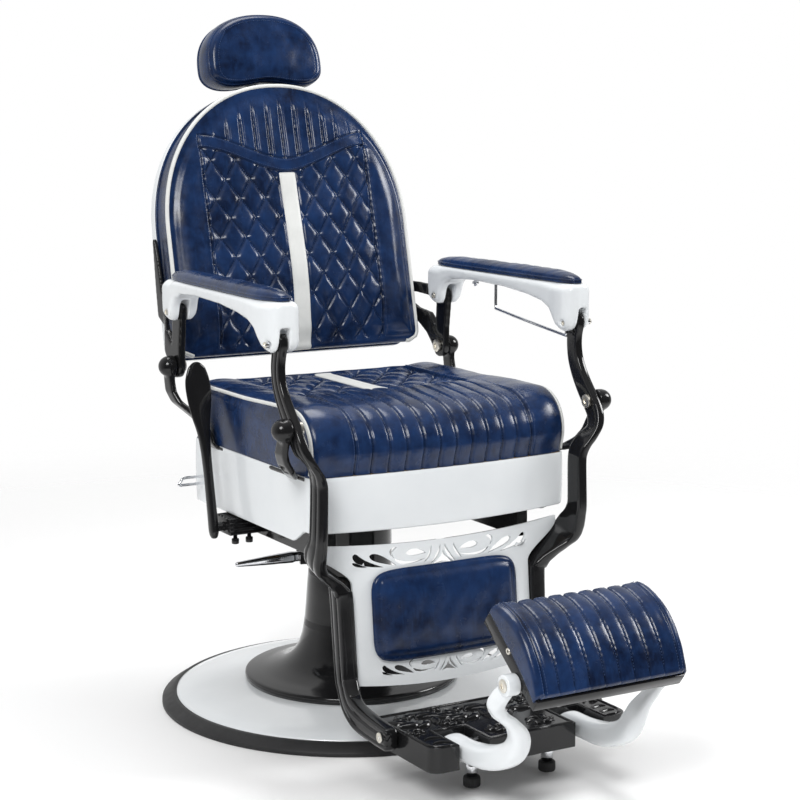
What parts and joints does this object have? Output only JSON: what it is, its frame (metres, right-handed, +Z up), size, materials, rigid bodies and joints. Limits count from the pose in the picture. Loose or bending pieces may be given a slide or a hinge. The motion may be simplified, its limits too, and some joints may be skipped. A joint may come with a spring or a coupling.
{
  "type": "barber chair",
  "caption": "Barber chair on a round pump base, with quilted leather cushions, white enamel arms and shell, a reclining back linked to the leg rest, and a lifting foot pad.",
  "frame": {"origin": "centre of the base's underside, on the floor and on the swivel axis", "axes": "+Z up, -Y the way the chair faces, +X the sitter's left"},
  "size_m": [0.66, 1.1576, 1.176],
  "materials": {
    "leather": "glossy blotched navy",
    "enamel": "gloss white",
    "shell": "gloss white",
    "black": "gloss black",
    "chrome": "polished",
    "steel": "plain",
    "rubber": "matte",
    "plywood": "raw"
  },
  "bodies": {
    "base": {"base_disc": "steel", "base_dome": "enamel", "base_rubber_ring": "rubber", "column_cover": "black", "pump_cylinder": "steel", "pump_head": "black", "pump_pin": "steel"},
    "pump_lever": {"pump_lever": "chrome"},
    "ram": {"ram": "black"},
    "seat": {"swivel_plate": "black", "seat_frame": "black", "seat_riser": "black", "seat_board": "plywood", "seat_box": "shell", "seat_cushion": "leather", "front_bracket_left": "black", "front_bracket_right": "black", "rear_bracket_left": "black", "rear_bracket_right": "black", "front_pivot_left": "chrome", "front_pivot_right": "chrome", "rear_pivot_left": "chrome", "rear_pivot_right": "chrome", "lever_bracket": "black"},
    "recline_lever": {"recline_lever": "black"},
    "side_handle": {"side_handle": "chrome"},
    "back": {"back_cushion": "leather", "back_shell": "shell", "back_arm_left": "black", "back_arm_right": "black", "headrest_sleeve": "black"},
    "headrest": {"headrest_post": "chrome", "headrest_cushion": "leather"},
    "armrest_left": {"armrest_left": "enamel", "armpad_left": "leather", "arm_pin_front_left": "chrome", "arm_pin_rear_left": "chrome", "towel_bar": "chrome"},
    "armrest_right": {"armrest_right": "enamel", "armpad_right": "leather", "arm_pin_front_right": "chrome", "arm_pin_rear_right": "chrome"},
    "leg_rest": {"front_leg_left": "black", "front_leg_right": "black", "leg_panel": "enamel", "calf_pad": "leather", "foot_platform": "black", "foot_bolt_left": "chrome", "foot_bolt_right": "chrome", "pad_arm_shaft": "steel", "peg_left": "chrome", "peg_right": "chrome", "peg_tip_left": "rubber", "peg_tip_right": "rubber"},
    "pad_arms": {"pad_arm_left": "enamel", "pad_arm_right": "enamel"},
    "foot_pad": {"foot_tray": "black", "foot_cushion": "leather", "tray_bolt_left": "chrome", "tray_bolt_right": "chrome"}
  },
  "joints": [
    {"name": "height", "type": "slide", "parent": "base", "child": "ram", "axis": [0, 0, 1], "range_m": [0, 0.17]},
    {"name": "swivel", "type": "hinge", "parent": "ram", "child": "seat", "pos_m": [0, 0, 0.33], "axis": [0, 0, 1], "continuous": true},
    {"name": "pump", "type": "hinge", "parent": "base", "child": "pump_lever", "pos_m": [-0.08046, 0.02036, 0.256], "axis": [-0.2453, -0.9694, 0], "range_deg": [0, 25], "stiffness_Nm_per_rad": 4, "springref_deg": -11.46},
    {"name": "recline", "type": "hinge", "parent": "seat", "child": "back", "pos_m": [0, 0.1315, 0.585], "axis": [-1, 0, 0], "range_deg": [0, 40]},
    {"name": "leg_lift", "type": "hinge", "parent": "seat", "child": "leg_rest", "pos_m": [0, -0.321, 0.544], "axis": [-1, 0, 0], "range_deg": [0, 36]},
    {"name": "arm_left", "type": "hinge", "parent": "back", "child": "armrest_left", "pos_m": [0.262, 0.117, 0.679], "axis": [1, 0, 0], "range_deg": [0, 46]},
    {"name": "arm_right", "type": "hinge", "parent": "back", "child": "armrest_right", "pos_m": [-0.262, 0.117, 0.679], "axis": [1, 0, 0], "range_deg": [0, 46]},
    {"name": "headrest_slide", "type": "slide", "parent": "back", "child": "headrest", "axis": [0, 0.2233, 0.9748], "range_m": [0, 0.1]},
    {"name": "recline_release", "type": "hinge", "parent": "seat", "child": "recline_lever", "pos_m": [-0.268, -0.015, 0.333], "axis": [1, 0, 0], "range_deg": [0, 15], "stiffness_Nm_per_rad": 6, "springref_deg": -11.46},
    {"name": "side_pull", "type": "slide", "parent": "seat", "child": "side_handle", "axis": [-1, 0, 0], "range_m": [0, 0.012], "stiffness_N_per_m": 300, "springref_m": -0.01},
    {"name": "pad_lift", "type": "hinge", "parent": "leg_rest", "child": "pad_arms", "pos_m": [0, -0.515, 0.08], "axis": [-1, 0, 0], "range_deg": [0, 40]},
    {"name": "pad_tilt", "type": "hinge", "parent": "pad_arms", "child": "foot_pad", "pos_m": [0, -0.708, 0.229], "axis": [-1, 0, 0], "range_deg": [-20, 20]}
  ],
  "couplings": [
    {"joint": "leg_lift", "follows": "recline", "ratio": 0.884},
    {"joint": "arm_left", "follows": "recline", "ratio": 1.1307},
    {"joint": "arm_right", "follows": "recline", "ratio": 1.1307}
  ]
}
